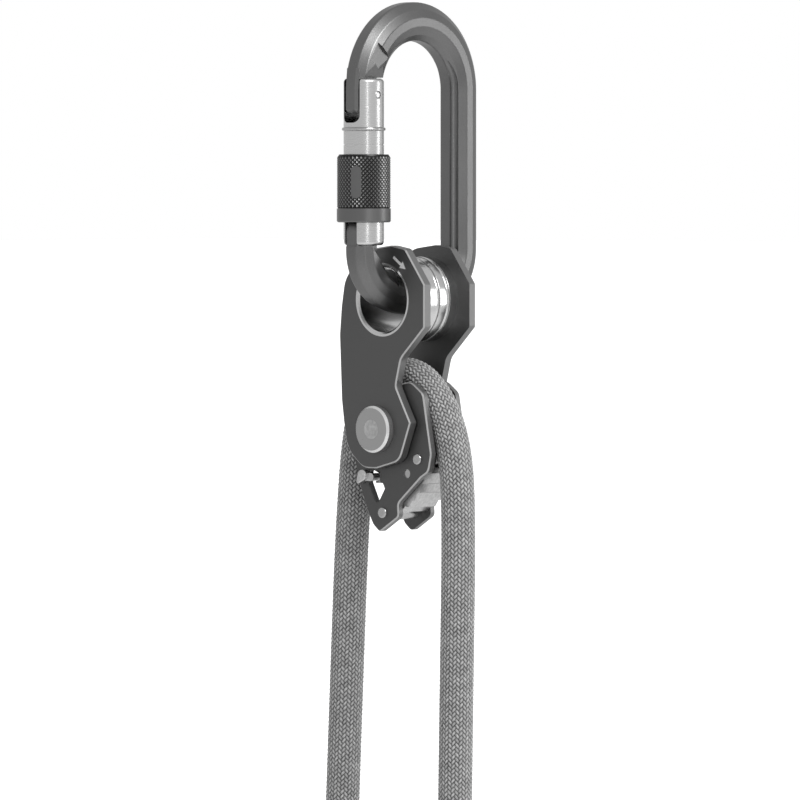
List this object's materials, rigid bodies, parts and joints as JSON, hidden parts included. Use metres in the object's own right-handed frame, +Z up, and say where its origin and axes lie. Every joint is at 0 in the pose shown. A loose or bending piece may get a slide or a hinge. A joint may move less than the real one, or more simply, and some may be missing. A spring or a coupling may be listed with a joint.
{
  "type": "rope pulley",
  "caption": "Side-plate rope pulley with a toothed cam below its sheave, hanging in a screw-gate carabiner, with a braided rope over the sheave.",
  "frame": {"origin": "the anchor seat: the inside of the carabiner's top bend, straight above the pulley's middle plane, where the anchor bears", "axes": "+Z up, against the pull of the load; the side plates lie parallel to XZ with the front plate facing -Y; the carabiner's loop lies in the YZ plane with its gate towards -Y"},
  "size_m": [0.0639, 0.0581, 0.2793],
  "materials": {
    "anodised_plate": "dark satin anodised aluminium, fine lengthwise grain, bright edges",
    "anodised_cheek": "dark satin anodised aluminium",
    "anodised_rod": "grey satin anodised forged aluminium",
    "anodised_sleeve": "grey anodised aluminium, knurled",
    "silver_gate": "silver anodised aluminium, satin",
    "polished_aluminium": "turned and polished aluminium",
    "sheave_aluminium": "turned aluminium",
    "rivet_steel": "brushed stainless steel",
    "cast_steel": "precision cast stainless steel, fine grained",
    "spring_steel": "drawn spring steel wire",
    "bush_bronze": "self-lubricating bronze",
    "rope_sheath": "braided polyamide sheath",
    "end_sleeve": "shrunk plastic sleeve"
  },
  "bodies": {
    "carabiner": {"carabiner_body": "anodised_rod", "gate_hinge_pin": "rivet_steel"},
    "gate_assembly": {"gate": "silver_gate", "gate_latch_pin": "rivet_steel", "gate_pusher": "rivet_steel", "gate_spring": "spring_steel"},
    "snap_ring": {"gate_snap_ring": "rivet_steel"},
    "sleeve": {"screw_sleeve": "anodised_sleeve"},
    "pulley_frame": {"front_side_plate": "anodised_plate", "back_side_plate": "anodised_plate", "front_cheek": "anodised_cheek", "back_cheek": "anodised_cheek", "eye_spool": "polished_aluminium", "sheave_axle": "rivet_steel", "front_axle_washer": "rivet_steel", "back_axle_washer": "rivet_steel", "front_spacer_washer": "rivet_steel", "back_spacer_washer": "rivet_steel", "cam_pivot_rivet": "rivet_steel", "cam_stop_pin": "rivet_steel", "cam_spring": "spring_steel", "lower_rivet": "rivet_steel", "lower_spacer": "rivet_steel", "rope": "rope_sheath", "rope_end_left": "end_sleeve", "rope_end_right": "end_sleeve"},
    "sheave_wheel": {"sheave": "sheave_aluminium", "sheave_bush": "bush_bronze"},
    "cam": {"toothed_cam": "cast_steel"}
  },
  "joints": [
    {"name": "gate_open", "type": "hinge", "parent": "carabiner", "child": "gate_assembly", "pos_m": [0, -0.0202, -0.0562], "axis": [-1, 0, 0], "range_deg": [0, 25], "stiffness_Nm_per_rad": 0.08, "springref_deg": -20.05},
    {"name": "sleeve_turn", "type": "hinge", "parent": "gate_assembly", "child": "snap_ring", "pos_m": [0, -0.0202, -0.028], "axis": [0, 0, 1], "range_deg": [0, 1440]},
    {"name": "sleeve_lift", "type": "slide", "parent": "snap_ring", "child": "sleeve", "axis": [0, 0, 1], "range_m": [0, 0.016]},
    {"name": "pulley_swing", "type": "hinge", "parent": "carabiner", "child": "pulley_frame", "pos_m": [0, 0, -0.0823], "axis": [0, 1, 0], "range_deg": [-25, 25]},
    {"name": "sheave_spin", "type": "hinge", "parent": "pulley_frame", "child": "sheave_wheel", "pos_m": [-0.0025, 0, -0.1235], "axis": [0, 1, 0], "continuous": true},
    {"name": "cam_turn", "type": "hinge", "parent": "pulley_frame", "child": "cam", "pos_m": [0.0124, 0, -0.1328], "axis": [0, -1, 0], "range_deg": [0, 14]}
  ],
  "couplings": [
    {"joint": "sleeve_turn", "follows": "sleeve_lift", "rad_per_m": 1570.8}
  ]
}
